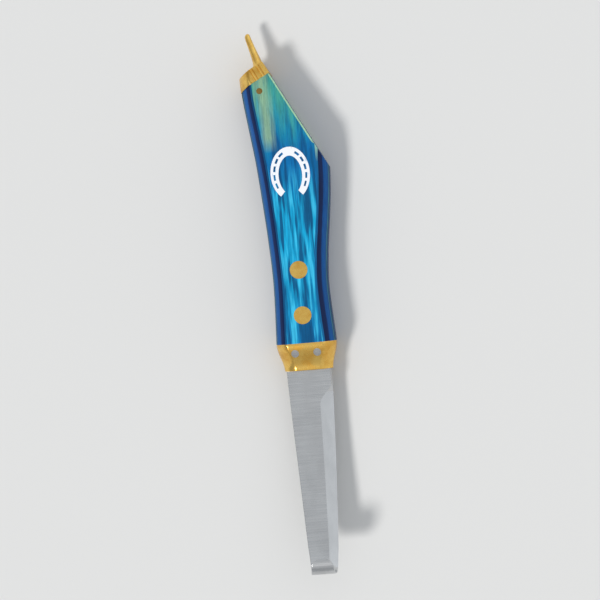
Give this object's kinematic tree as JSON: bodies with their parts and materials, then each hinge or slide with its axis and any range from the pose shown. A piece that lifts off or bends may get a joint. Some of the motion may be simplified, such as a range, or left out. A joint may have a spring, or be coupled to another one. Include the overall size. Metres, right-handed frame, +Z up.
{
  "type": "hoof knife",
  "caption": "Fixed-blade hoof knife: bowed blade with a curled hook, bolster, contoured laminated wood handle with a slanted nose, and a brass butt cap that ends in a small pick.",
  "frame": {"origin": "on the surface that the knife lies on, under the centre of its box", "axes": "+Y from the hook to the butt, +Z up from the surface, the way the hook curls, +X to the cutting edge and the belly of the handle"},
  "size_m": [0.0331, 0.216, 0.0274],
  "materials": {
    "blade_steel": "satin ground stainless steel",
    "laminated_wood": "dyed birch laminate in blue, cyan and teal plies, polished and lacquered",
    "core_ply": "navy dyed laminate, polished and lacquered",
    "brass": "polished",
    "pin_steel": "pin stock, ground flush"
  },
  "bodies": {
    "root": {"blade": "blade_steel", "handle_core": "core_ply", "scale_front": "laminated_wood", "scale_back": "laminated_wood", "bolster": "brass", "bolster_pin_spine": "pin_steel", "bolster_pin_belly": "pin_steel", "rivet_fore_female": "brass", "rivet_fore_male": "brass", "rivet_aft_female": "brass", "rivet_aft_male": "brass", "butt_cap": "brass", "cap_pin": "brass"}
  },
  "joints": []
}
